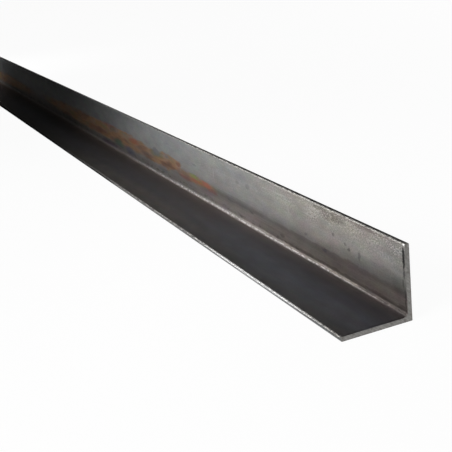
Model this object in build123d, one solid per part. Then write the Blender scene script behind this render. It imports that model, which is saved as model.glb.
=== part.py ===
"""Equal-leg steel angle, hot rolled, cut to a stock length.

The bar lies on the outer face of one leg, the flat leg, and the other leg stands up
from its back edge. X runs along the bar, Y from the open side to the back, Z up.
The origin is the middle of the bar's footprint on the floor. All sizes are in millimetres.
"""

import os

from build123d import *

# Driving dimensions.
LEG = 50.0  # outside width of each leg, measured from the heel
WALL = 3.0  # thickness of both legs
STOCK_LENGTH = 1500.0  # length between the two sawn ends
ROOT_RADIUS = 3.5  # fillet inside the corner, left by the rolls
INNER_TOE_RADIUS = 1.0  # rounding of each toe towards the inside of the angle
OUTER_TOE_RADIUS = 0.8  # rounding of each toe towards the outer face
HEEL_RADIUS = 0.4  # the outside corner is nearly sharp

# Places that follow from them, across the bar.
HEEL_Y = LEG / 2
TOE_Y = HEEL_Y - LEG
INNER_Y = HEEL_Y - WALL


def rolled_section():
    """The L of the section, with the rounding that the rolls leave at each corner."""
    corners = [
        ((HEEL_Y, 0), HEEL_RADIUS),
        ((TOE_Y, 0), OUTER_TOE_RADIUS),
        ((TOE_Y, WALL), INNER_TOE_RADIUS),
        ((INNER_Y, WALL), ROOT_RADIUS),
        ((INNER_Y, LEG), INNER_TOE_RADIUS),
        ((HEEL_Y, LEG), OUTER_TOE_RADIUS),
    ]
    places = [place for place, radius in corners]
    radii = [radius for place, radius in corners]
    with BuildSketch(Plane.YZ) as section:
        with BuildLine():
            FilletPolyline(places, radius=radii, close=True)
        make_face()
    return section.sketch


def steel_angle():
    """The bar: the section drawn out both ways from the middle and sawn off square."""
    return extrude(rolled_section(), amount=STOCK_LENGTH / 2, both=True)


def main():
    """Write the bar, which is rolled as one piece."""
    os.makedirs("parts", exist_ok=True)
    export_step(steel_angle(), "parts/steel_angle.step")


main()
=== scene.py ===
"""Dress a length of hot-rolled equal-leg steel angle, and stage it on a pale studio floor.

The bar lies on one leg, as it would on a workshop floor. X runs along it, Y from the open side
to the back, and Z up. Blender works in metres; the sizes of the section and of the marks on the
steel are given in millimetres and turned to metres by one constant.
"""

import logging
import math
from collections.abc import Sequence
from dataclasses import dataclass, replace
from enum import Enum
from functools import partial
from typing import Any

import bpy
from bpy.types import Material, Node, NodeSocket, NodeTree, Object
from mathutils import Matrix, Vector


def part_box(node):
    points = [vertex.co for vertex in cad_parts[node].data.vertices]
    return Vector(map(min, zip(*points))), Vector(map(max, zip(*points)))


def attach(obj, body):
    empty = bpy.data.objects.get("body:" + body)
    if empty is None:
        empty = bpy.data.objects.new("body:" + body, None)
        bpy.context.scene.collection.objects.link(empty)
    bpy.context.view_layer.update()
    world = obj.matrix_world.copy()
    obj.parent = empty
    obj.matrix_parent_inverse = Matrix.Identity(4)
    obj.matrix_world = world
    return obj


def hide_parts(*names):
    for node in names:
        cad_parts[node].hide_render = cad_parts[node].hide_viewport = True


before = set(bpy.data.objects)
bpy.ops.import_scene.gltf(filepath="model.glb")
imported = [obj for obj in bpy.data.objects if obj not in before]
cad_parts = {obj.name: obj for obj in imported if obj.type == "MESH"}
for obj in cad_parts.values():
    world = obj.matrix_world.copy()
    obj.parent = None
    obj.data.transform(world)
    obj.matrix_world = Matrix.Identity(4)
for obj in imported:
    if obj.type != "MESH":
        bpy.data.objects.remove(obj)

LOG = logging.getLogger("steel_angle")
Triple = tuple[float, float, float]
Tones = tuple[tuple[float, str], ...]
MM = 0.001
WAVE_TURN = math.tau / 20  # the length over which a wave texture of scale one repeats
SMOOTH = {"interpolation_type": "SMOOTHSTEP"}
NODE_FAMILIES = ("ShaderNode", "GeometryNode", "FunctionNode", "")
SOCKET_KINDS = {float: "NodeSocketFloat", int: "NodeSocketInt", tuple: "NodeSocketVector",
                Material: "NodeSocketMaterial"}


def linear(hex_colour: str) -> tuple[float, float, float, float]:
    """Turn an sRGB colour into the linear values that Blender works in.

    Args:
        hex_colour: Six hexadecimal digits, red first.

    Returns:
        Linear red, green and blue, and an alpha of one.
    """
    channels = []
    for start in (0, 2, 4):
        value = int(hex_colour[start:start + 2], 16) / 255
        channels.append(value / 12.92 if value <= 0.04045 else ((value + 0.055) / 1.055) ** 2.4)
    return (channels[0], channels[1], channels[2], 1.0)


def add_node(tree: NodeTree, kind: str, inputs: Sequence[Any] | dict[int | str, Any] = (),
             operation: str = "", **settings: Any) -> Node:
    """Add one node to a tree, with its settings, its values and its links.

    Args:
        tree: The shader or geometry tree that gets the node.
        kind: Blender's name for the type of node, without the name of its family before it.
        inputs: What feeds the inputs, in their order or by number or name: a value, a socket, or
            a node, which gives its first output. A MapRange takes what is measured, then where
            it starts and ends, then the results there.
        operation: What a node for maths does.
        **settings: Other attributes of the node.

    Returns:
        The new node.
    """
    family = next(family for family in NODE_FAMILIES if hasattr(bpy.types, family + kind))
    node = tree.nodes.new(family + kind)
    if operation:
        node.operation = operation
    for name, value in settings.items():
        setattr(node, name, value)
    for key, value in inputs.items() if isinstance(inputs, dict) else enumerate(inputs):
        if isinstance(value, Node):
            tree.links.new(value.outputs[0], node.inputs[key])
        elif isinstance(value, NodeSocket):
            tree.links.new(value, node.inputs[key])
        else:
            node.inputs[key].default_value = value
    return node


class Face(Enum):
    """The two flat faces inside the angle."""

    UPRIGHT = "upright leg, inner face"
    FLAT = "flat leg, upper face"


@dataclass(frozen=True)
class BarSize:
    """The rolled section and half the bar's length, in millimetres."""

    leg: float = 50.0
    wall: float = 3.0
    root_radius: float = 3.5
    inner_toe_radius: float = 1.0
    outer_toe_radius: float = 0.8
    heel_radius: float = 0.4
    half_length: float = 750.0

    @property
    def inner_face(self) -> float:
        """Y of the upright leg's inner face."""
        return self.leg / 2 - self.wall


@dataclass(frozen=True)
class Mark:
    """A spot, smudge or stain on an inner face: an ellipse, with its sizes in millimetres.

    Attributes:
        from_end: How far its middle is from the bar's end at positive X.
        off_heel: How far its middle is from the heel, across the leg.
        length: Its size along the bar.
        width: Its size across the leg.
        cover: How much it hides at its middle, from 0 to 1.
        blur: How much of its reach its soft edge takes up.
        tone: Its colour, where it has one of its own.
        face: The face that it lies on.
        thin: Its reach across the wall, so that the back of the leg stays clean.
    """

    from_end: float
    off_heel: float
    length: float
    width: float
    cover: float
    blur: float
    tone: str = ""
    face: Face = Face.UPRIGHT
    thin: float = 1.6

    def centre(self, size: BarSize) -> Triple:
        """Give the mark's middle.

        Args:
            size: The sizes of the bar that the mark lies on.

        Returns:
            The place of the middle.
        """
        along = size.half_length - self.from_end
        if self.face is Face.UPRIGHT:
            return (along, size.inner_face, self.off_heel)
        return (along, size.leg / 2 - self.off_heel, size.wall)

    def reach(self) -> Triple:
        """Give the ellipse's half sizes along X, Y and Z."""
        across = (self.thin, self.width / 2) if self.face is Face.UPRIGHT else (self.width / 2, self.thin)
        return (self.length / 2, *across)


# Rust low on the upright leg, in ragged patches; the last one is in the far third.
RUST = [
    Mark(668, 19.5, 470, 17, 0.95, 0.5),
    Mark(545, 21.5, 200, 16.5, 0.95, 0.35),
    Mark(452, 19, 64, 13, 0.9, 0.45),
    Mark(398, 22.5, 62, 13.5, 0.95, 0.3),
    Mark(416, 16.5, 36, 11, 0.95, 0.4),
    Mark(338, 17.6, 96, 8, 0.75, 0.7),
    Mark(1180, 17, 380, 16, 0.9, 0.6),
]
# Dirt and lighter, rubbed places, darker patches low on the upright near the cut, and painted shade along
# both sides of the root crease, which narrows the painted root highlight.
SMUDGES_AND_ROOT_SHADE = [
    # Painted shade beside the root crease near the cut, on the flat leg and on the upright.
    Mark(55, 5, 170, 1.7, 0.5, 0.9, "3A3431", Face.FLAT),
    Mark(20, 5.6, 150, 1.8, 0.45, 0.9, "4A423E"),
    Mark(103, 47.4, 18, 4.4, 0.45, 0.8, "4A443C"),
    Mark(88, 44.8, 22, 7.5, 0.5, 0.9, "554B43"),
    Mark(76, 46.5, 16, 8, 0.4, 0.9, "5A4F48"),
    Mark(40, 48.2, 56, 3, 0.5, 0.9, "5E5048"),
    Mark(120, 44, 30, 8, 0.35, 1.0, "A8A49B"),
    Mark(160, 43, 46, 9, 0.2, 0.9, "A09E96"),
    Mark(66, 41, 18, 10, 0.4, 0.9, "A39B91"),
    Mark(235, 42, 60, 9, 0.4, 1.0, "7A7C80"),
    Mark(5, 42, 30, 28, 0.45, 1.0, "6C6967"),
    Mark(400, 43, 330, 18, 0.45, 1.0, "7A7672", Face.FLAT),
    Mark(255, 18.5, 120, 5, 0.45, 0.9, "56534E"),
    Mark(90, 17, 190, 4.6, 0.5, 0.9, "4C4643"),
    Mark(20, 12, 190, 15, 0.62, 1.0, "4E4644"),
    Mark(130, 11, 150, 12, 0.5, 1.0, "5E5853"),
    Mark(8, 20, 16, 12, 0.5, 0.9, "46423F"),
    # Painted shade along the top of the root crease.
    Mark(50, 6.7, 250, 3, 0.6, 0.7, "38322F"),
    Mark(10, 5.4, 90, 3.6, 0.75, 0.8, "3C3634"),
    Mark(24, 23.5, 110, 9, 0.5, 1.0, "5E605D"),
    Mark(268, 23.5, 220, 9, 0.45, 1.0, "969593"),
]
# Short bright scratches and scuffs high on the upright leg.
SCRATCHES = [
    Mark(163, 43.5, 24, 1, 0.45, 0.8, "B4B1AB"),
    Mark(117, 38.5, 12, 1.2, 0.4, 0.8, "B4B1AB"),
    Mark(150, 33.5, 2, 8, 0.35, 0.8, "AFADA8"),
    Mark(288, 34, 2.4, 8, 0.35, 0.8, "B0B0AE"),
]
# Small dark spots and dents.
SPOTS = [
    Mark(85, 32.7, 3.2, 2.4, 0.5, 0.7, "3C3836"),
    Mark(66, 27.6, 3.8, 2.8, 0.6, 0.7, "3C3836"),
    Mark(52.5, 26, 3, 6.5, 0.42, 0.7, "40393B"),
    Mark(70, 30.2, 2.4, 1.8, 0.5, 0.6, "454140"),
    Mark(98, 17.5, 6, 2.4, 0.5, 0.8, "3A3744"),
    Mark(125, 22.5, 4, 2, 0.4, 0.8, "45414C"),
    Mark(219, 36.5, 7, 4, 0.4, 0.8, "56585C"),
    Mark(239, 36, 7, 3, 0.4, 0.8, "5A5C60"),
    Mark(332, 32, 8, 2, 0.4, 0.8, "5C5E62"),
    Mark(141, 6.8, 5, 1.8, 0.6, 0.6, "35312D"),
    Mark(163, 10.5, 7, 2.6, 0.5, 0.8, "423C34"),
    Mark(216, 16, 6, 2, 0.5, 0.8, "443F38"),
]
# Painted shadow of the burr: a dark, ragged line at the near cut on both inner faces; a painted glint on
# one corner; and a painted highlight along the flat leg's toe.
BURR_SHADOW_AND_HIGHLIGHTS = [
    Mark(1.9, 42, 2.8, 10, 0.95, 0.5, "121110"),
    Mark(1.8, 37, 2.2, 8, 0.9, 0.6, "171514"),
    Mark(2, 30, 2, 6, 0.7, 0.8, "262322"),
    Mark(3.4, 24, 1.7, 6, 0.5, 0.8, "2A2826"),
    Mark(1.6, 14, 1.3, 14, 0.6, 0.6, "24211F"),
    Mark(1.2, 49, 1.8, 1.1, 0.7, 0.7, "FFFFFF"),
    Mark(1.6, 18, 1.2, 26, 0.6, 0.6, "24211F", Face.FLAT),
    Mark(1.4, 40, 1, 16, 0.5, 0.6, "201E1D", Face.FLAT),
    Mark(125, 50, 180, 1.5, 0.45, 0.8, "FFFFFF", Face.FLAT),
]
# The colours that heat and damp left in and around the rust.
TEMPER_TINTS = [
    Mark(375, 24.6, 13, 4.5, 0.6, 0.7, "6A352B"),
    Mark(436, 25.5, 22, 8, 0.75, 0.6, "686B70"),
    Mark(406, 26.5, 12, 4, 0.55, 0.8, "60656C"),
    Mark(418, 11.5, 30, 6, 0.6, 0.8, "6C7078"),
    Mark(337, 20.6, 18, 3.4, 0.6, 0.9, "7D8C2E"),
    Mark(324, 17.6, 16, 3, 0.5, 0.9, "8A7A2C"),
    Mark(330, 16.6, 30, 3.6, 0.5, 0.9, "9E4A30"),
    Mark(308, 18.6, 18, 5, 0.6, 0.9, "A44C36"),
    Mark(296, 15.6, 20, 4, 0.5, 0.9, "7E433E"),
    Mark(358, 14.6, 30, 5, 0.45, 0.9, "84504A"),
    Mark(362, 19, 20, 4, 0.5, 0.9, "80603A"),
    Mark(310, 12, 34, 5, 0.45, 1.0, "74606C"),
    Mark(506, 24, 34, 5, 0.6, 0.9, "96452A"),
    Mark(560, 12.6, 34, 7.5, 0.6, 0.9, "2F604E"),
    Mark(524, 11, 32, 8, 0.5, 0.9, "464D72"),
    Mark(600, 6.5, 56, 6, 0.5, 0.9, "523760"),
    Mark(596, 28, 44, 5, 0.45, 1.0, "7A3A3C"),
    Mark(580, 25.5, 22, 5, 0.5, 0.9, "3A4838"),
    Mark(640, 16, 70, 6, 0.4, 1.0, "6E3A22"),
]


class Painter:
    """The tree of one finish: places on the bar in millimetres, and the colour laid on so far."""

    def __init__(self, name: str, size: BarSize) -> None:
        """Start the tree.

        Args:
            name: The finish's name.
            size: The sizes of the bar that is painted.
        """
        self.size = size
        self.colour: Any = linear("000000")
        self.material = bpy.data.materials.new(name)
        self.material.use_nodes = True
        self.material.node_tree.nodes.clear()
        self.add = partial(add_node, self.material.node_tree)
        self.metres = self.add("TexCoord").outputs["Object"]
        self.place = self.add("VectorMath", {0: self.metres, "Scale": 1 / MM}, "SCALE")
        self.x, self.y, self.z = self.add("SeparateXYZ", (self.place,)).outputs

    def grain(self, lengths: Triple, detail: float, start: float,
              place: Node | None = None) -> Node:
        """Make an irregular pattern whose lumps have a real size.

        Args:
            lengths: The size of a lump along X, Y and Z, in millimetres.
            detail: How many finer layers it has.
            start: Where in the endless pattern it begins, so that no two patterns line up.
            place: Where it is laid, in metres, if not straight on the bar.

        Returns:
            The pattern, with its value first and its colour second.
        """
        scaled = self.add("Mapping", {0: place or self.metres, "Location": [start * MM] * 3,
                                      "Scale": [length * MM for length in lengths]}, vector_type="TEXTURE")
        return self.add("TexNoise", {"Vector": scaled, "Scale": 1, "Detail": detail, "Roughness": 0.55})

    def roughened(self, reach: float, lump: float, start: float) -> Node:
        """Shift places about, so that what is laid on them gets an uneven edge.

        Args:
            reach: How far a place may move, in millimetres.
            lump: The size of the unevenness, in millimetres.
            start: Where in the endless pattern it begins.

        Returns:
            The shifted places.
        """
        lumps = self.grain((lump * 2.5, lump, lump), 4, start)
        red, _, blue = self.add("SeparateColor", (lumps.outputs[1],)).outputs
        shift = self.add("CombineXYZ", {0: red, 2: blue})
        shifted = self.add("VectorMath", (shift, (reach * 5, 0, reach * 2), self.place), "MULTIPLY_ADD")
        return self.add("VectorMath", (shifted, (reach * 2.5, 0, reach)), "SUBTRACT")

    def faded(self, cover: Any, *borders: tuple[Any, Any, float]) -> Any:
        """Let a cover fade out across borders.

        Args:
            cover: How strong it is inside all the borders.
            *borders: For each one, what is measured, where nothing is left, and where all is.

        Returns:
            The cover that is left.
        """
        for measured, none_left, all_left in borders:
            cover = self.add("MapRange", (measured, none_left, all_left, 0, cover))
        return cover

    def shades(self, measured: Node, stops: Tones, whole: float = 1.0) -> Node:
        """Grade through a row of tones.

        Args:
            measured: What decides where in the row a place falls.
            stops: Amounts of it, each with its tone.
            whole: The amount at the end of the row.

        Returns:
            The graded tone.
        """
        if whole != 1.0:
            measured = self.add("Math", (measured, whole), "DIVIDE")
        ramp = self.add("ValToRGB", (measured,))
        elements = ramp.color_ramp.elements
        while len(elements) < len(stops):
            elements.new(1)
        for element, (amount, tone) in zip(elements, stops):
            element.position = amount / whole
            element.color = linear(tone)
        return ramp

    def blend(self, cover: Any, below: Any, above: Any, blend_type: str = "MIX") -> NodeSocket:
        """Mix two colours.

        Args:
            cover: How strongly the upper one covers each place.
            below: The lower colour.
            above: The upper colour.
            blend_type: Blender's name for the way that they mix.

        Returns:
            The colour that shows.
        """
        return self.add("Mix", {0: cover, 6: below, 7: above}, data_type="RGBA",
                        blend_type=blend_type).outputs[2]

    def lay(self, cover: Any, above: Any, blend_type: str = "MIX") -> None:
        """Lay a tone, or a colour that varies, over the colour so far."""
        above = linear(above) if isinstance(above, str) else above
        self.colour = self.blend(cover, self.colour, above, blend_type)

    def mask_of(self, mark: Mark, place: Node) -> Node:
        """Find how strongly a mark covers each place.

        Args:
            mark: The mark.
            place: The places, roughened.

        Returns:
            The cover, from 0 to the mark's own.
        """
        centre, reach = mark.centre(self.size), mark.reach()
        offset = [-middle / half for middle, half in zip(centre, reach)]
        local = self.add("VectorMath", (place, [1 / half for half in reach], offset), "MULTIPLY_ADD")
        distance = self.add("VectorMath", (local,), "LENGTH")
        return self.add("MapRange", (distance.outputs["Value"], 1 + mark.blur / 2, 1 - mark.blur / 2, 0,
                                     mark.cover), **SMOOTH)

    def stain(self, marks: list[Mark], place: Node) -> None:
        """Lay marks over the colour so far, at roughened places."""
        for mark in marks:
            self.lay(self.mask_of(mark, place), mark.tone)

    def finish(self, metallic: Any, roughness: Node, relief: Node) -> Material:
        """Join the finished layers to the shader.

        Args:
            metallic: How metallic it is.
            roughness: How rough it is.
            relief: The direction that its fine relief gives the surface.

        Returns:
            The finished material.
        """
        shader = self.add("BsdfPrincipled", {"Base Color": self.colour, "Metallic": metallic,
                                             "Roughness": roughness, "Normal": relief})
        self.add("OutputMaterial", {"Surface": shader})
        return self.material


@dataclass(frozen=True)
class MillScale:
    """Hot-rolled mild steel in its mill scale: a thin, hard, grey to blue-black oxide.

    It gives the eye a dark, half-dull metal sheen that drifts between cool and warm grey, lines
    that the rolls drew along the bar, a sandy grain, a root and toes that are rubbed brighter,
    and brown rust where damp got under the scale. The rubbed root and toe arrises also carry a
    painted highlight, one corner of the cut a painted glint, and the flat leg, the toes' faces,
    the root's edges and the line behind the burr carry painted shade.
    """

    name: str = "hot_rolled_mill_scale"
    metallic: float = 0.75
    rust_metallic: float = 0.3
    roughness: float = 0.45
    rust_dullness: float = 0.12
    grain_dullness: float = 0.25
    rubbed_smoothness: float = 0.12
    film_share: float = 0.22
    pit_depth: float = 0.03
    outer_tones: Tones = (
        (0.34, "595857"), (0.44, "626161"), (0.54, "69696A"), (0.66, "747270"))
    upright_tones: Tones = (
        (5, "8A8480"), (12, "8D8782"), (15, "807B78"), (18, "777472"), (21, "817F7D"),
        (25, "908E8C"), (32, "939392"), (46, "929290"))
    flat_tones: Tones = (
        (5, "635B58"), (13, "4C494C"), (20, "505055"), (28, "57585F"), (38, "58585C"),
        (47, "545352"))
    cool_tint: str = "F8FBFF"
    warm_tint: str = "FFF9F2"
    bright_fleck: str = "CBC6BF"
    dark_fleck: str = "3E3934"
    rubbed_root_highlight: str = "E4DFDC"
    rubbed_arris_highlight: str = "B9B6B1"
    toe_face_shade: str = "2C2B2A"
    rust_tones: Tones = (
        (0.30, "5E402E"), (0.42, "7A553A"), (0.50, "936E4C"), (0.58, "87673F"), (0.70, "6C6541"))

    def grade(self, paint: Painter) -> None:
        """Grade tones across each leg, the flat leg's darker partly as painted shade, and let them drift
        from cool to warm.

        Args:
            paint: The tree being painted.
        """
        add, size = paint.add, paint.size
        drift = add("Math", (paint.grain((130, 30, 30), 2, 3), 0.5), "SUBTRACT")

        # The borders between the tones wander by a millimetre or two.
        wander = add("Math", (drift, 7), "MULTIPLY")
        height = add("Math", (paint.z, wander), "ADD")
        depth = add("Math", (self.depth(paint), wander), "ADD")
        # The flat leg's tones are darker than the upright's, partly the scale's own colour and partly
        # painted shade.
        upright = paint.shades(height, self.upright_tones, size.leg)
        flat = paint.shades(depth, self.flat_tones, size.leg)
        round_root = add("Math", (paint.y, paint.z), "ADD")
        root_sum = size.inner_face + size.wall
        on_upright = add("MapRange", (round_root, root_sum - 2, root_sum + 2), **SMOOTH)
        outer = paint.shades(paint.grain((170, 7, 7), 3, 127), self.outer_tones)
        inside = paint.faded(1, (paint.y, size.inner_face + 1.8, size.inner_face + 1.2),
                             (paint.z, 1.2, 1.8))
        toned = paint.blend(inside, outer, paint.blend(on_upright, flat, upright))

        # Cool in the middle of the bar and warm at its ends, the other way round on the flat leg.
        from_middle = add("Math", (paint.x,), "ABSOLUTE")
        warmth = add("MapRange", (from_middle, 430, 640, 0.1, 0.9))
        coolness = add("Math", (0.9, warmth), "SUBTRACT")
        leaning = add("Mix", {0: on_upright, 2: coolness, 3: warmth})
        warm_here = add("Math", (drift, 1.6, leaning), "MULTIPLY_ADD", use_clamp=True)
        tint = paint.blend(warm_here, linear(self.cool_tint), linear(self.warm_tint))
        paint.colour = paint.blend(1, toned, tint, "MULTIPLY")

    def depth(self, paint: Painter) -> Node:
        """Measure how far a place is from the heel along the flat leg."""
        return paint.add("Math", (paint.size.leg / 2, paint.y), "SUBTRACT")

    def rust(self, paint: Painter) -> tuple[Node, Node]:
        """Lay on the rust, a thin film, ragged at its edge, and the tints around it.

        Args:
            paint: The tree being painted.

        Returns:
            How much rust there is, and its uneven thickness.
        """
        ragged = paint.roughened(3.2, 7, 17)
        rust: Any = 0.0
        for patch in RUST:
            rust = paint.add("Math", (rust, paint.mask_of(patch, ragged)), "MAXIMUM")
        film = paint.grain((30, 7, 7), 3, 23)
        film_cover = paint.add("MapRange", (film, 0.36, 0.56, 0.6, 0.95))
        cover = paint.add("Math", (rust, film_cover), "MULTIPLY")
        kinds = paint.shades(paint.grain((44, 10, 10), 2.5, 31), self.rust_tones)
        paint.lay(cover, kinds)
        paint.stain(TEMPER_TINTS, paint.roughened(2.4, 4, 29))
        return cover, film

    def sand(self, paint: Painter) -> tuple[Node, Node]:
        """Lay on the oxide film's faint colours, the rolling lines, the sandy grain and its flecks.

        Args:
            paint: The tree being painted.

        Returns:
            The grain, and the grain about zero.
        """
        add, z = paint.add, paint.z
        film_colours = paint.grain((16, 6, 6), 2, 83).outputs[1]
        paint.lay(self.film_share, film_colours, "MULTIPLY")

        # The lines are strongest low on the upright leg; they also make up for the film's shade.
        low_strength = add("MapRange", (z, 3.5, 6, 0.25, 0.7))
        strength = add("MapRange", (z, 24, 16, 0.22, low_strength))
        lines = add("Math", (paint.grain((150, 1.1, 1.1), 3, 41), 0.5), "SUBTRACT")
        line_tone = add("Math", (lines, strength, 1 / (1 - self.film_share / 2)), "MULTIPLY_ADD")

        # The grain is drawn a little coarser than the real half millimetre so that it shows; it is
        # boldest along the toe of the upright leg near the end, where it is rubbed bright in flecks.
        sand = paint.grain((1.5, 1, 1), 1.5, 53)
        patches = paint.grain((22, 9, 9), 3, 59)
        sandy = paint.faded(1, (z, 31, 43), (paint.x, 540, 640), (patches, 0.36, 0.54))
        bold = add("Math", (sandy, 1.9, 1), "MULTIPLY_ADD")
        sand_depth = add("Math", (sand, 0.5), "SUBTRACT")
        cloud = add("MapRange", (patches, 0.3, 0.7, -0.13, 0.13))
        cloud_tone = add("Math", (cloud, line_tone), "ADD")
        tone = add("Math", (sand_depth, bold, cloud_tone), "MULTIPLY_ADD")
        paint.colour = add("Mix", {0: tone, 6: linear("000000"), 7: paint.colour}, data_type="RGBA",
                           clamp_factor=False).outputs[2]
        flecks = paint.faded(sandy, (paint.grain((1.4, 1, 1), 0, 97), 0.58, 0.66))
        paint.lay(add("Math", (flecks, 0.55), "MULTIPLY"), self.bright_fleck)
        return sand, sand_depth

    def wear(self, paint: Painter) -> None:
        """Lay on the dark flecks low beside the root, the scuffs, the scratches and the spots.

        Args:
            paint: The tree being painted.
        """
        add, x, z = paint.add, paint.x, paint.z
        dirt = paint.grain((7, 2, 2), 1.5, 101)
        dark = paint.faded(0.55, (z, 10.5, 7.5), (x, 640, 590), (z, 5.5, 6.8), (dirt, 0.56, 0.64))
        paint.lay(dark, self.dark_fleck)

        # A scuff is the thin curved line along which an irregular pattern has its middle value.
        swirl = add("Math", (paint.grain((20, 9, 9), 2, 107), 0.5), "SUBTRACT")
        off_line = add("Math", (swirl,), "ABSOLUTE")
        scuffs = paint.faded(0.14, (z, 24, 32), (x, 700, 620), (off_line, 0.012, 0.003))
        paint.lay(scuffs, self.bright_fleck)
        paint.stain(SCRATCHES + SPOTS, paint.roughened(1.2, 5, 11))

    def rub_and_paint_light(self, paint: Painter) -> Node:
        """Lay a rubbed, painted highlight on the root and the toes' inner arrises, and painted shade on the
        toes' own faces.

        Args:
            paint: The tree being painted.

        Returns:
            How much the root is rubbed and painted with highlight.
        """
        add, size, x, z = paint.add, paint.size, paint.x, paint.z
        # The root's fillet is rubbed and also carries a painted highlight: a near-white band that fades out
        # near the cut and toward the far end.
        corner = add("CombineXYZ", (x, size.inner_face, size.wall))
        to_corner = add("VectorMath", (paint.place, corner), "DISTANCE")
        root_reach = add("MapRange", (x, 740, 480, 1.52, 2.2))
        fold = add("MapRange", (x, 560, 650, 3.35, 3.6))
        above_fold = paint.faded(1, (z, fold, 4.2))
        root = add("MapRange", (to_corner.outputs["Value"], root_reach, 1.5, 0, above_fold), **SMOOTH)
        beads = add("MapRange", (paint.grain((3.4, 1.6, 1.6), 3, 67), 0.42, 0.56, 0.2, 1))
        root_highlight_far = add("MapRange", (x, 190, 390, 0.05), **SMOOTH)
        rubbed = add("Math", (paint.faded(beads, (x, 765, 640)), root_highlight_far), "MULTIPLY")
        root_highlight_cover = add("Math", (root, rubbed), "MULTIPLY")
        paint.lay(root_highlight_cover, self.rubbed_root_highlight)

        # Along whichever leg, how far out a place is, and how deep it is in the wall.
        depth = self.depth(paint)
        far_out = add("Math", (z, depth), "MAXIMUM")
        in_wall = add("Math", (z, depth), "MINIMUM")
        # Painted shade on the toes' own faces, heavier near the cut on the upright and toward the far end
        # on the flat leg.
        upright_toe_shade = add("MapRange", (x, 200, 420, 0.15, 0.85))
        flat_toe_shade = add("MapRange", (x, 150, 450, 0.9, 0))
        toe_shade = add("MapRange", (z, 5, 10, flat_toe_shade, upright_toe_shade))
        paint.lay(paint.faded(toe_shade, (far_out, size.leg - 0.9, size.leg - 0.3)), self.toe_face_shade)
        # Painted highlight on the toes' inner arrises, over their rubbing, fading out toward the far end.
        arris_beads = add("MapRange", (x, 150, 450, 0.05, beads))
        arris = paint.faded(arris_beads, (far_out, size.leg - 1.2, size.leg - 0.7),
                            (in_wall, size.wall - 0.9, size.wall - 0.4))
        paint.lay(arris, self.rubbed_arris_highlight)
        return root_highlight_cover

    def material(self, size: BarSize) -> Material:
        """Build the finish.

        Args:
            size: The sizes of the bar that it covers.

        Returns:
            The material.
        """
        paint = Painter(self.name, size)
        self.grade(paint)
        paint.stain(SMUDGES_AND_ROOT_SHADE, paint.roughened(2.6, 3.5, 13))
        rust_cover, film = self.rust(paint)
        sand, sand_depth = self.sand(paint)
        self.wear(paint)
        root_highlight_cover = self.rub_and_paint_light(paint)
        paint.stain(BURR_SHADOW_AND_HIGHLIGHTS, paint.roughened(0.5, 1.5, 71))

        # Rust is less metallic. It and the grain are duller than whole scale, and the rubbed root
        # is smoother.
        metal = paint.add("MapRange", {"Value": rust_cover, "To Min": self.metallic,
                                       "To Max": self.rust_metallic})
        roughness: Any = self.roughness
        for layer, dullness in ((sand_depth, self.grain_dullness), (rust_cover, self.rust_dullness),
                                (root_highlight_cover, -self.rubbed_smoothness)):
            roughness = paint.add("Math", (layer, dullness, roughness), "MULTIPLY_ADD")
        pits = paint.add("Math", (film, rust_cover, sand), "MULTIPLY_ADD")
        relief = paint.add("Bump", {"Strength": 0.6, "Distance": self.pit_depth * MM, "Height": pits})
        return paint.finish(metal, roughness, relief)


@dataclass(frozen=True)
class SawnSteel:
    """Bare mild steel as a saw leaves it.

    It gives the eye a light, slightly warm grey with fine parallel marks that catch the light,
    and a thin brown bloom where the cut has begun to dull.
    """

    name: str = "sawn_bare_steel"
    tone: str = "81807D"
    bright: str = "9A9895"
    bloom: str = "6C6762"
    roughness: float = 0.5
    mark_depth: float = 0.03

    def material(self, size: BarSize) -> Material:
        """Build the finish.

        Args:
            size: The sizes of the bar that it covers.

        Returns:
            The material.
        """
        paint = Painter(self.name, size)
        paint.colour = linear(self.tone)
        turned = paint.add("VectorRotate", {"Vector": paint.metres, "Angle": math.radians(45)},
                           rotation_type="X_AXIS")
        marks = paint.grain((30, 9, 0.9), 3, 5, turned)
        mottle = paint.grain((4, 2.2, 2.2), 3, 13)
        paint.lay(paint.faded(0.8, (marks, 0.42, 0.68)), self.bright)
        paint.lay(paint.faded(0.5, (mottle, 0.5, 0.68)), self.bloom)
        roughness = paint.add("MapRange", (mottle, 0.3, 0.7, self.roughness - 0.08, self.roughness + 0.1))
        relief = paint.add("Bump", {"Strength": 0.4, "Distance": self.mark_depth * MM, "Height": marks})
        return paint.finish(1, roughness, relief)


@dataclass(frozen=True)
class MeshFineness:
    """How many points the mesh of the bar has, and from which angle on an edge is sharp."""

    arc_points: int = 10
    leg_cuts: int = 40
    stations: int = 400
    end_rows: int = 11
    end_crowding: float = 0.93
    sharp_degrees: float = 40.0


@dataclass(frozen=True)
class Relief:
    """Real relief of the surface, as heights and lengths in millimetres."""

    roll_wave: float = 0.06
    roll_wave_length: float = 90.0
    roll_wave_width: float = 18.0
    root_wave: float = 0.12
    root_wave_length: float = 7.0
    burr: float = 0.35
    burr_reach: float = 1.1
    burr_length: float = 5.0
    burr_grows: tuple[float, float] = (14.0, 26.0)
    burr_low_share: float = 0.3
    saw_mark: float = 0.04
    saw_pitch: float = 1.9
    merged: float = 0.004
    flat_end: float = 0.02
    seed: float = 4.0


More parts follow.
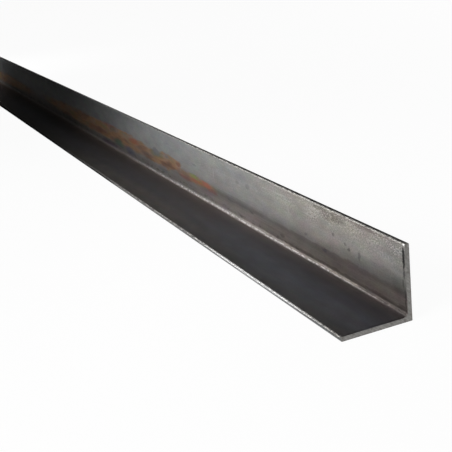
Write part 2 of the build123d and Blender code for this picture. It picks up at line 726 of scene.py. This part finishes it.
@dataclass
class AngleBar:
    """The bar itself: the rolled section drawn along its length, and sawn off at both ends."""

    node: str = "steel_angle"
    body: str = "root"
    slot: str = "mill_scale_steel"
    piece_name: str = "rolled_angle_bar"
    size: BarSize = BarSize()
    fineness: MeshFineness = MeshFineness()
    relief: Relief = Relief()

    def __post_init__(self) -> None:
        """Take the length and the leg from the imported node, and start the geometry tree."""
        low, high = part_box(self.node)
        self.length = high[0] - low[0]
        self.size = replace(self.size, half_length=self.length / 2 / MM)
        self.leg = high[2] - low[2]
        self.values = self.named_values()
        self.tree = bpy.data.node_groups.new("rolled_and_sawn_bar", "GeometryNodeTree")
        self.tree.interface.new_socket("Geometry", in_out="OUTPUT", socket_type="NodeSocketGeometry")
        for name, value in self.values.items():
            self.tree.interface.new_socket(name, in_out="INPUT", socket_type=SOCKET_KINDS[type(value)])
        self.add = partial(add_node, self.tree)
        self.take = self.add("NodeGroupInput").outputs
        self.place = self.add("InputPosition")
        self.x, self.y, self.z = self.add("SeparateXYZ", (self.place,)).outputs
        half = self.add("Math", (self.take["Length"], 0.5), "MULTIPLY")
        off_middle = self.add("Math", (self.x,), "ABSOLUTE")
        self.from_end = self.add("Math", (half, off_middle), "SUBTRACT")

    def named_values(self) -> dict[str, Any]:
        """Name every size and finish that the tree takes.

        Returns:
            Each input's name with its value, in metres.
        """
        size, fineness, relief = self.size, self.fineness, self.relief
        across = 1 / (relief.roll_wave_width * MM)
        lengths = {
            "Wall": size.wall, "Root Radius": size.root_radius, "Root Place": size.inner_face,
            "Inner Toe Radius": size.inner_toe_radius, "Outer Toe Radius": size.outer_toe_radius,
            "Heel Radius": size.heel_radius, "Roll Wave": relief.roll_wave,
            "Root Wave": relief.root_wave, "Burr": relief.burr, "Burr Reach": relief.burr_reach,
            "Saw Mark": relief.saw_mark, "Merge Distance": relief.merged, "Flat End": relief.flat_end}
        return {name: length * MM for name, length in lengths.items()} | {
            "Length": self.length, "Leg": self.leg, "Arc Points": fineness.arc_points,
            "Leg Cuts": fineness.leg_cuts, "Stations": fineness.stations,
            "End Rows": fineness.end_rows, "End Crowding": fineness.end_crowding,
            "Roll Wave Frequency": (1 / (relief.roll_wave_length * MM), across, across),
            "Root Wave Frequency": 1 / (relief.root_wave_length * MM),
            "Burr Frequency": 1 / (relief.burr_length * MM),
            "Saw Frequency": WAVE_TURN / (relief.saw_pitch * MM), "Seed": relief.seed,
            "Rolled Finish": MillScale().material(size), "Sawn Finish": SawnSteel().material(size)}

    def outline(self) -> Node:
        """Draw the outline of the section, with its corners rounded.

        Returns:
            The node whose first output is the closed outline, in the tree's XY plane.
        """
        add, take = self.add, self.take
        heel = add("Math", (take["Leg"], 0.5), "MULTIPLY")
        toe = add("Math", (heel, -1.0), "MULTIPLY")
        inner = add("Math", (heel, take["Wall"]), "SUBTRACT")
        corners = [
            (toe, 0.0, take["Outer Toe Radius"]),
            (heel, 0.0, take["Heel Radius"]),
            (heel, take["Leg"], take["Outer Toe Radius"]),
            (inner, take["Leg"], take["Inner Toe Radius"]),
            (inner, take["Wall"], take["Root Radius"]),
            (toe, take["Wall"], take["Inner Toe Radius"]),
        ]
        index = add("InputIndex")
        place = add("IndexSwitch", {"Index": index}, data_type="VECTOR")
        radius = add("IndexSwitch", {"Index": index}, data_type="FLOAT")
        for switch in (place, radius):
            while len(switch.index_switch_items) < len(corners):
                switch.index_switch_items.new()
        for number, (across, height, rounding) in enumerate(corners, start=1):
            point = add("CombineXYZ", (across, height))
            self.tree.links.new(point.outputs[0], place.inputs[number])
            self.tree.links.new(rounding, radius.inputs[number])
        line = add("MeshLine", {"Count": len(corners)})
        bent = add("SetPosition", {"Geometry": line, "Position": place})
        curve = add("MeshToCurve", {"Mesh": bent})
        closed = add("SetSplineCyclic", {"Geometry": curve, "Cyclic": True})
        return add("FilletCurve", {"Curve": closed, "Count": take["Arc Points"], "Radius": radius},
                   mode="POLY")

    def section(self) -> Node:
        """Cut the outline's straight stretches, so that both sides of the wall have as many points.

        Returns:
            The node that gives the finished outline.
        """
        add, take = self.add, self.take
        index = add("InputIndex")
        arc = add("IntegerMath", (take["Arc Points"], 1), "ADD")
        following = add("IntegerMath", (index, 1), "ADD")
        in_arc = add("IntegerMath", (following, arc), "MODULO")
        straight = add("Compare", {2: in_arc, 3: 0}, data_type="INT", operation="EQUAL")
        corner = add("IntegerMath", (index, arc), "DIVIDE_FLOOR")
        third = add("IntegerMath", (corner, 3), "MODULO")
        at_toe = add("Compare", {2: third, 3: 2}, data_type="INT", operation="EQUAL")
        cuts = add("Switch", {"Switch": at_toe, "False": take["Leg Cuts"], "True": 1}, input_type="INT")
        wanted = add("Switch", {"Switch": straight, "False": 0, "True": cuts}, input_type="INT")
        return add("SubdivideCurve", {"Curve": self.outline(), "Cuts": wanted})

    def path(self) -> Node:
        """Add the line that the section is drawn along, with its points crowded at the ends.

        Returns:
            The node that gives the line.
        """
        add, take = self.add, self.take
        straight = add("CurvePrimitiveLine", {"End": (1.0, 0.0, 0.0)})
        line = add("ResampleCurve", {"Curve": straight, "Count": take["Stations"]}, mode="COUNT")
        share = add("SplineParameter")
        turn = add("Math", (share, math.tau), "MULTIPLY")
        wave = add("Math", (turn,), "SINE")
        shift = add("Math", (wave, take["End Crowding"]), "MULTIPLY")
        scaled = add("Math", (shift, math.tau), "DIVIDE")
        crowded = add("Math", (share, scaled), "SUBTRACT")
        centred = add("Math", (crowded, 0.5), "SUBTRACT")
        along = add("Math", (centred, take["Length"]), "MULTIPLY")
        place = add("CombineXYZ", (along,))
        moved = add("SetPosition", {"Geometry": line, "Position": place})
        return add("SetCurveNormal", {"Curve": moved, "Normal": (0.0, 1.0, 0.0)}, mode="FREE")

    def wave_and_root_height(self) -> Node:
        """Measure the shallow waves that the rolls left, and the uneven root.

        Returns:
            Their height.
        """
        add, take = self.add, self.take
        stretched = add("VectorMath", (self.place, take["Roll Wave Frequency"]), "MULTIPLY")
        wave = add("TexNoise", {"Vector": stretched, "W": take["Seed"], "Scale": 1.0, "Detail": 1.0},
                   noise_dimensions="4D")
        wave_height = add("MapRange", (wave, 0.3, 0.7, 0.0, take["Roll Wave"]), clamp=False)
        root_line = add("CombineXYZ", (self.x, take["Root Place"], take["Wall"]))
        off_root = add("VectorMath", (self.place, root_line), "DISTANCE")
        near_root = add("MapRange", (off_root.outputs["Value"], take["Root Radius"], 0.0, 0.0,
                                     take["Root Wave"]), **SMOOTH)
        bead = add("TexNoise", {"Vector": self.place, "W": take["Seed"],
                                "Scale": take["Root Wave Frequency"], "Detail": 2.0}, noise_dimensions="4D")
        centred = add("MapRange", (bead, 0.3, 0.7, -1.0, 1.0), clamp=False)
        root_height = add("Math", (near_root, centred), "MULTIPLY")
        return add("Math", (wave_height, root_height), "ADD")

    def burr_height(self) -> Node:
        """Measure the ragged burr on the inner edges of the cuts, tallest up the upright leg.

        Returns:
            Its height.
        """
        add, take = self.add, self.take
        low, high = [height * MM for height in self.relief.burr_grows]
        lip = add("MapRange", (self.from_end, take["Burr Reach"], 0.0), **SMOOTH)
        rag = add("TexNoise", {"Vector": self.place, "W": take["Seed"], "Scale": take["Burr Frequency"],
                               "Detail": 2.0}, noise_dimensions="4D")
        ragged = add("MapRange", (rag, 0.42, 0.7, 0.0, take["Burr"]))
        inside_back = add("Compare", (self.y, self.leg / 2 - 1.0 * MM), "LESS_THAN")
        inside = add("MapRange", (self.z, 2.0 * MM, 2.8 * MM, 0.0, inside_back))
        tall = add("MapRange", (self.z, low, high, self.relief.burr_low_share, 1.0))
        placed = add("Math", (inside, tall), "MULTIPLY")
        lifted = add("Math", (lip, placed), "MULTIPLY")
        return add("Math", (lifted, ragged), "MULTIPLY")

    def rolled(self, tube: Node) -> Node:
        """Give the rolled faces their relief.

        Args:
            tube: The plain rolled faces, without ends.

        Returns:
            The node that gives the rolled faces with their relief.
        """
        total = self.add("Math", (self.wave_and_root_height(), self.burr_height()), "ADD")
        outward = self.add("InputNormal")
        offset = self.add("VectorMath", {0: outward, "Scale": total}, "SCALE")
        return self.add("SetPosition", {"Geometry": tube, "Offset": offset})

    def end(self, rolled: Node, last: bool) -> Node:
        """Close one end with rows of faces that run from the outer to the inner side of the wall.

        Args:
            rolled: The rolled faces, whose first or last ring of points is the edge of the end.
            last: True for the end at the positive X side.

        Returns:
            The node that gives the end, facing outwards.
        """
        add, take = self.add, self.take
        count = add("AttributeDomainSize", (rolled,), component="MESH")
        ring = add("IntegerMath", (count.outputs["Point Count"], take["Stations"]), "DIVIDE")
        half_ring = add("IntegerMath", (ring, 2), "DIVIDE")
        columns = add("IntegerMath", (half_ring, 1), "ADD")
        grid = add("MeshGrid", {"Vertices X": columns, "Vertices Y": take["End Rows"]})
        index = add("InputIndex")
        column = add("IntegerMath", (index, take["End Rows"]), "DIVIDE_FLOOR")
        row = add("IntegerMath", (index, take["End Rows"]), "MODULO")
        last_row = add("IntegerMath", (take["End Rows"], 1), "SUBTRACT")
        across = add("Math", (row, last_row), "DIVIDE")
        toe = add("IntegerMath", (ring, 1), "SUBTRACT")
        last_ring = add("IntegerMath", (take["Stations"], 1), "SUBTRACT")
        start = add("IntegerMath", (last_ring if last else 0, ring), "MULTIPLY")
        sides = []
        for step in ("ADD", "SUBTRACT"):
            around = add("IntegerMath", (toe, column), step)
            wrapped = add("IntegerMath", (around, ring), "MODULO")
            point = add("IntegerMath", (start, wrapped), "ADD")
            sides.append(add("SampleIndex", {"Geometry": rolled, 1: self.place, "Index": point},
                             data_type="FLOAT_VECTOR", domain="POINT"))
        between = add("Mix", {0: across, 4: sides[0], 5: sides[1]}, data_type="VECTOR")
        filled = add("SetPosition", {"Geometry": grid, "Position": between.outputs[1]})
        return filled if last else add("FlipFaces", {"Mesh": filled})

    def sawn(self, closed: Node) -> Node:
        """Press the saw's marks into both ends.

        Args:
            closed: The closed bar with flat ends.

        Returns:
            The node that gives the bar with its saw marks.
        """
        add, take = self.add, self.take
        at_end = add("Compare", (self.from_end, take["Flat End"]), "LESS_THAN")
        marks = add("TexWave", {"Vector": self.place, "Scale": take["Saw Frequency"], "Distortion": 1.2,
                                "Detail": 2.0}, wave_type="BANDS", bands_direction="Z")
        side = add("Math", (self.x,), "SIGN")
        depth = add("Math", (marks.outputs["Fac"], take["Saw Mark"]), "MULTIPLY")
        outward = add("Math", (depth, side), "MULTIPLY")
        inward = add("Math", (outward, -1.0), "MULTIPLY")
        offset = add("CombineXYZ", (inward,))
        return add("SetPosition", {"Geometry": closed, "Selection": at_end, "Offset": offset})

    def finished(self, bar: Node) -> Node:
        """Shade the bar smooth up to its edges, and give the rolled faces and the cuts their finish.

        Args:
            bar: The closed bar.

        Returns:
            The node that gives the finished bar.
        """
        add, sharp = self.add, math.radians(self.fineness.sharp_degrees)
        angle = add("InputMeshEdgeAngle")
        crease = add("Compare", (angle.outputs["Unsigned Angle"], sharp), "GREATER_THAN")
        smooth = add("SetShadeSmooth", {"Geometry": bar, "Shade Smooth": True}, domain="FACE")
        creased = add("SetShadeSmooth", {"Geometry": smooth, "Selection": crease, "Shade Smooth": False},
                      domain="EDGE")
        real = add("RealizeInstances", (creased,))
        facing = add("SeparateXYZ", (add("InputNormal"),))
        square_on = add("Math", (facing,), "ABSOLUTE")
        at_cut = add("Compare", (square_on, 0.75), "GREATER_THAN")
        scaled = add("SetMaterial", {"Geometry": real, "Material": self.take["Rolled Finish"]})
        return add("SetMaterial", {"Geometry": scaled, "Selection": at_cut,
                                   "Material": self.take["Sawn Finish"]})

    def build_tree(self) -> None:
        """Join the tube, its relief, its ends and its finishes into the tree of the whole bar."""
        tube = self.add("CurveToMesh", {"Curve": self.path(), "Profile Curve": self.section(),
                                        "Fill Caps": False})
        rolled = self.rolled(tube)
        pieces = self.add("JoinGeometry")
        for part in (self.end(rolled, False), self.end(rolled, True), rolled):
            self.tree.links.new(part.outputs[0], pieces.inputs[0])
        closed = self.add("MergeByDistance", {"Geometry": pieces, "Distance": self.take["Merge Distance"]})
        self.add("NodeGroupOutput", (self.finished(self.sawn(closed)),))

    def build(self) -> None:
        """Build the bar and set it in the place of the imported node."""
        self.build_tree()
        piece = bpy.data.objects.new(self.piece_name, bpy.data.meshes.new(self.piece_name))
        bpy.context.scene.collection.objects.link(piece)
        modifier = piece.modifiers.new(self.tree.name, "NODES")
        modifier.node_group = self.tree
        for socket in self.tree.interface.items_tree:
            if socket.in_out == "INPUT":
                modifier[socket.identifier] = self.values[socket.name]
        evaluated = piece.evaluated_get(bpy.context.evaluated_depsgraph_get())
        mesh = bpy.data.meshes.new_from_object(evaluated)
        piece.modifiers.clear()
        if mesh.materials[0] is None:
            mesh.materials.pop(index=0)
        piece.data = mesh
        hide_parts(self.node)
        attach(piece, self.body)
        LOG.info("%s: %d faces", piece.name, len(mesh.polygons))


@dataclass(frozen=True)
class Viewpoint:
    """Where the camera stands and how it is turned; angles in degrees, place in metres."""

    place: Triple = (1.1923, -0.2696, 0.2456)
    heading: float = 67.82
    pitch: float = -18.345
    roll: float = -6.363
    focal_pixels: float = 944.82
    image_pixels: float = 452.0
    sensor: float = 36.0

    def build(self) -> None:
        """Make the camera and give it to the scene."""
        data = bpy.data.cameras.new("camera")
        data.sensor_width = self.sensor
        data.lens = self.focal_pixels / self.image_pixels * self.sensor
        camera = bpy.data.objects.new("camera", data)
        turn = (Matrix.Rotation(math.radians(self.heading), 4, "Z")
                @ Matrix.Rotation(math.radians(90 + self.pitch), 4, "X")
                @ Matrix.Rotation(math.radians(self.roll), 4, "Z"))
        camera.matrix_world = Matrix.Translation(self.place) @ turn
        bpy.context.scene.collection.objects.link(camera)
        bpy.context.scene.camera = camera


@dataclass(frozen=True)
class SoftLight:
    """A studio lamp with a flat face; place, aim and sides in metres, its grid's spread in degrees."""

    name: str
    place: Triple
    aim: Triple
    sides: tuple[float, float]
    watts: float
    spread: float = 180.0

    def build(self) -> None:
        """Hang the lamp."""
        data = bpy.data.lights.new(self.name, "AREA")
        data.shape = "RECTANGLE"
        data.size, data.size_y = self.sides
        data.energy = self.watts
        data.spread = math.radians(self.spread)
        lamp = bpy.data.objects.new(self.name, data)
        lamp.location = self.place
        toward = Vector(self.aim) - Vector(self.place)
        lamp.rotation_euler = toward.to_track_quat("-Z", "Y").to_euler()
        bpy.context.scene.collection.objects.link(lamp)


@dataclass(frozen=True)
class Studio:
    """The pale floor, the lamps, the dim room, and a black louvre that only the steel's gloss sees.

    The louvre's slats stand across the bar in front of its far part. They take the floor's white
    out of the long reflections along the bar, and leave it in the short ones across it. A narrow
    strip that lies along the toe does the same for the toe's own face. Sizes are in metres.
    """

    floor_side: float = 60.0
    floor_drop: float = 0.0002
    paper_tone: str = "F4F4F4"
    room_tone: float = 0.03
    shadow_share: float = 0.04
    slat_pitch: float = 0.03
    slat_x: tuple[float, float] = (-0.86, 0.08)
    slat_y: tuple[float, float] = (-0.3, -0.0255)
    slat_z: tuple[float, float] = (0.0005, 0.05)
    strip_x: tuple[float, float] = (-0.86, 0.3)
    strip_y: tuple[float, float] = (-0.036, -0.0255)
    lamps: tuple[SoftLight, ...] = (
        SoftLight("front", (0.95, -0.9, 0.5), (0.7, 0, 0), (0.5, 0.5), watts=1.5, spread=50),
        SoftLight("over_left", (-0.72, -0.5, 0.6), (-0.68, 0, 0), (0.25, 0.25), watts=0.45, spread=28),
        SoftLight("far_front", (-0.5, -2.2, 0.6), (-0.45, 0, 0), (1, 0.4), watts=0.09, spread=30),
        SoftLight("overhead", (0.1, -0.35, 0.6), (0.35, 0, 0), (0.3, 0.3), watts=0.15, spread=50),
        SoftLight("low_left", (-0.4, -0.8, 0.15), (0.62, 0, 0.02), (0.35, 0.25), watts=0.09, spread=30),
        SoftLight("root_light", (-0.315, -0.18, 0.464), (0.55, 0, 0), (0.2, 0.2), watts=0.045, spread=50),
        SoftLight("behind", (0, 1.4, 0.5), (0, 0, 0.02), (2, 0.6), watts=8),
    )

    def floor_material(self) -> Material:
        """Build matt white paper that shows white and still takes the shadow.

        Returns:
            The material.
        """
        material = bpy.data.materials.new("studio_paper")
        material.use_nodes = True
        material.node_tree.nodes.clear()
        add = partial(add_node, material.node_tree)
        paper = add("BsdfDiffuse", {"Color": linear(self.paper_tone)})
        glow = add("Emission", {"Color": linear("FFFFFF"), "Strength": 1.0})
        ray = add("LightPath").outputs
        looked_at = add("Math", (ray["Is Camera Ray"], 1 - self.shadow_share), "MULTIPLY")
        mirrored = add("Math", (ray["Is Glossy Ray"], ray["Is Transmission Ray"]), "MAXIMUM")
        share = add("Math", (looked_at, mirrored), "MAXIMUM")
        mixed = add("MixShader", (share, paper, glow))
        add("OutputMaterial", {"Surface": mixed})
        return material

    def panels(self, name: str, corners: list[Triple], material: Material) -> Object:
        """Set up flat panels that aren't part of the object.

        Args:
            name: Their name.
            corners: Four corners for each panel, in metres.
            material: Their finish.

        Returns:
            The panels, as one object.
        """
        mesh = bpy.data.meshes.new(name)
        mesh.from_pydata(corners, [], [tuple(range(n, n + 4)) for n in range(0, len(corners), 4)])
        mesh.materials.append(material)
        stage = bpy.data.objects.new(name, mesh)
        bpy.context.scene.collection.objects.link(stage)
        return stage

    def build_louvre(self) -> None:
        """Stand the black slats in a row, hidden from all but glossy rays."""
        black = bpy.data.materials.new("black_card")
        black.use_nodes = True
        shader = black.node_tree.nodes["Principled BSDF"].inputs
        shader["Base Color"].default_value = linear("000000")
        shader["Specular IOR Level"].default_value = 0.0
        (first, last), (front, back), (low, high) = self.slat_x, self.slat_y, self.slat_z
        corners = []
        for number in range(int((last - first) / self.slat_pitch) + 1):
            x = last - number * self.slat_pitch
            corners += [(x, front, low), (x, back, low), (x, back, high), (x, front, high)]
        (start, end), (near, toe) = self.strip_x, self.strip_y
        corners += [(start, near, 0.0), (end, near, 0.0), (end, toe, 0.0), (start, toe, 0.0)]
        louvre = self.panels("louvre", corners, black)
        for rays in ("camera", "diffuse", "transmission", "shadow"):
            setattr(louvre, f"visible_{rays}", False)

    def build(self) -> None:
        """Lay the floor, stand the louvre, hang the lamps and set the room's tone."""
        half, level = self.floor_side / 2, -self.floor_drop
        corners = [(-half, -half, level), (half, -half, level), (half, half, level), (-half, half, level)]
        self.panels("floor", corners, self.floor_material())
        self.build_louvre()
        world = bpy.data.worlds.new("room")
        world.use_nodes = True
        background = world.node_tree.nodes["Background"].inputs
        background["Color"].default_value = linear("FFFFFF")
        background["Strength"].default_value = self.room_tone
        bpy.context.scene.world = world
        for lamp in self.lamps:
            lamp.build()


def main() -> None:
    """Build the bar and the studio."""
    logging.basicConfig(level=logging.INFO)
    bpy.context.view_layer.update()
    AngleBar().build()
    Studio().build()
    Viewpoint().build()
    bpy.context.scene.view_settings.view_transform = "Standard"


if __name__ == "__main__":
    main()
